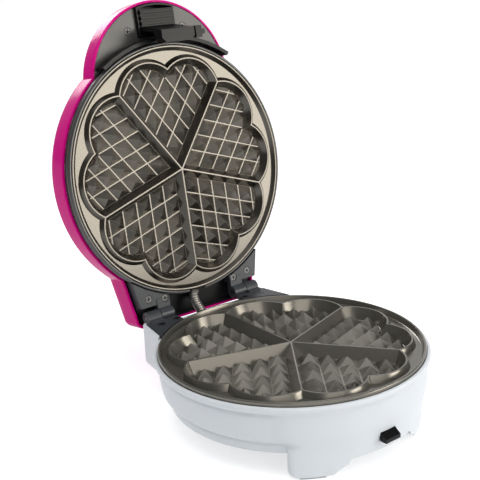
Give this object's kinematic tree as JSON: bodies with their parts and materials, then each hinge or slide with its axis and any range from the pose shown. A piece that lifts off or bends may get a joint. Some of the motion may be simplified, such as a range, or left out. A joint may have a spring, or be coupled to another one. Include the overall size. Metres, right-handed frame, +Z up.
{
  "type": "heart waffle maker",
  "caption": "Round countertop waffle maker: white footed base, hinged magenta lid with front latch, and two round plates with heart-shaped pyramid-patterned moulds.",
  "frame": {"origin": "bottom centre of the bounding box with the lid open, on the table", "axes": "+Z up, +Y from the front towards the hinges, +X to the right seen from the front"},
  "size_m": [0.208, 0.2878, 0.3055],
  "materials": {
    "white_plastic": "satin gloss white",
    "magenta_gloss": "high gloss magenta",
    "coated_plate": "dark non-stick coating, satin",
    "hinge_grey": "satin dark grey",
    "black_plastic": "satin black",
    "grey_plastic": "satin mid grey",
    "steel": "plain steel",
    "hose_metal": "corrugated metal hose",
    "aluminium_sheet": "pressed sheet",
    "rubber": "matt rubber",
    "red_lens": "clear red",
    "green_lens": "clear green",
    "ceramic": "off-white ceramic"
  },
  "bodies": {
    "base": {"base_housing": "white_plastic", "rear_deck": "black_plastic", "base_bottom_cover": "white_plastic", "cover_screw_1": "steel", "cover_screw_2": "steel", "cover_screw_3": "steel", "cover_screw_4": "steel", "foot_front_left": "rubber", "foot_front_right": "rubber", "foot_rear_left": "rubber", "foot_rear_right": "rubber", "lower_plate": "coated_plate", "lower_heating_element": "steel", "lower_reflector": "aluminium_sheet", "lower_thermostat": "ceramic", "lower_thermal_fuse": "ceramic", "terminal_block": "ceramic", "lower_release_spring": "steel", "base_hinge_right": "hinge_grey", "base_hinge_left": "hinge_grey", "base_hinge_screw_1": "steel", "base_hinge_screw_2": "steel", "base_hinge_screw_3": "steel", "base_hinge_screw_4": "steel", "hinge_pin_right": "steel", "hinge_pin_left": "steel", "cord_gland": "black_plastic", "wiring_conduit": "hose_metal"},
    "lid": {"lid_shell": "magenta_gloss", "tongue_plate": "grey_plastic", "tongue_screw_left": "steel", "tongue_screw_right": "steel", "upper_plate": "coated_plate", "upper_plate_ring": "grey_plastic", "upper_heating_element": "steel", "upper_reflector": "aluminium_sheet", "upper_thermostat": "ceramic", "plate_guard_rib": "black_plastic", "lid_tail_liner": "black_plastic", "lid_hinge_right": "hinge_grey", "lid_hinge_left": "hinge_grey", "lid_hinge_screw_1": "steel", "lid_hinge_screw_2": "steel", "lid_hinge_screw_3": "steel", "lid_hinge_screw_4": "steel", "latch_housing": "black_plastic", "latch_pin": "steel", "latch_spring": "steel", "power_lamp": "red_lens", "ready_lamp": "green_lens"},
    "latch": {"lid_latch": "black_plastic"},
    "lower_release": {"lower_release_button": "black_plastic"},
    "upper_release": {"upper_release_slider": "black_plastic"}
  },
  "joints": [
    {"name": "lid_hinge", "type": "hinge", "parent": "base", "child": "lid", "pos_m": [0, 0.07241, 0.0609], "axis": [1, 0, 0], "range_deg": [0, 98.9], "deforming": ["wiring_conduit"]},
    {"name": "latch_pivot", "type": "hinge", "parent": "lid", "child": "latch", "pos_m": [0, 0.11613, 0.28316], "axis": [-1, 0, 0], "range_deg": [0, 12], "stiffness_Nm_per_rad": 0.5},
    {"name": "lower_release_press", "type": "slide", "parent": "base", "child": "lower_release", "axis": [0, 1, 0], "range_m": [0, 0.004], "stiffness_N_per_m": 300, "deforming": ["lower_release_spring"]},
    {"name": "upper_release_slide", "type": "slide", "parent": "lid", "child": "upper_release", "axis": [-1, 0, 0], "range_m": [0, 0.004]}
  ]
}
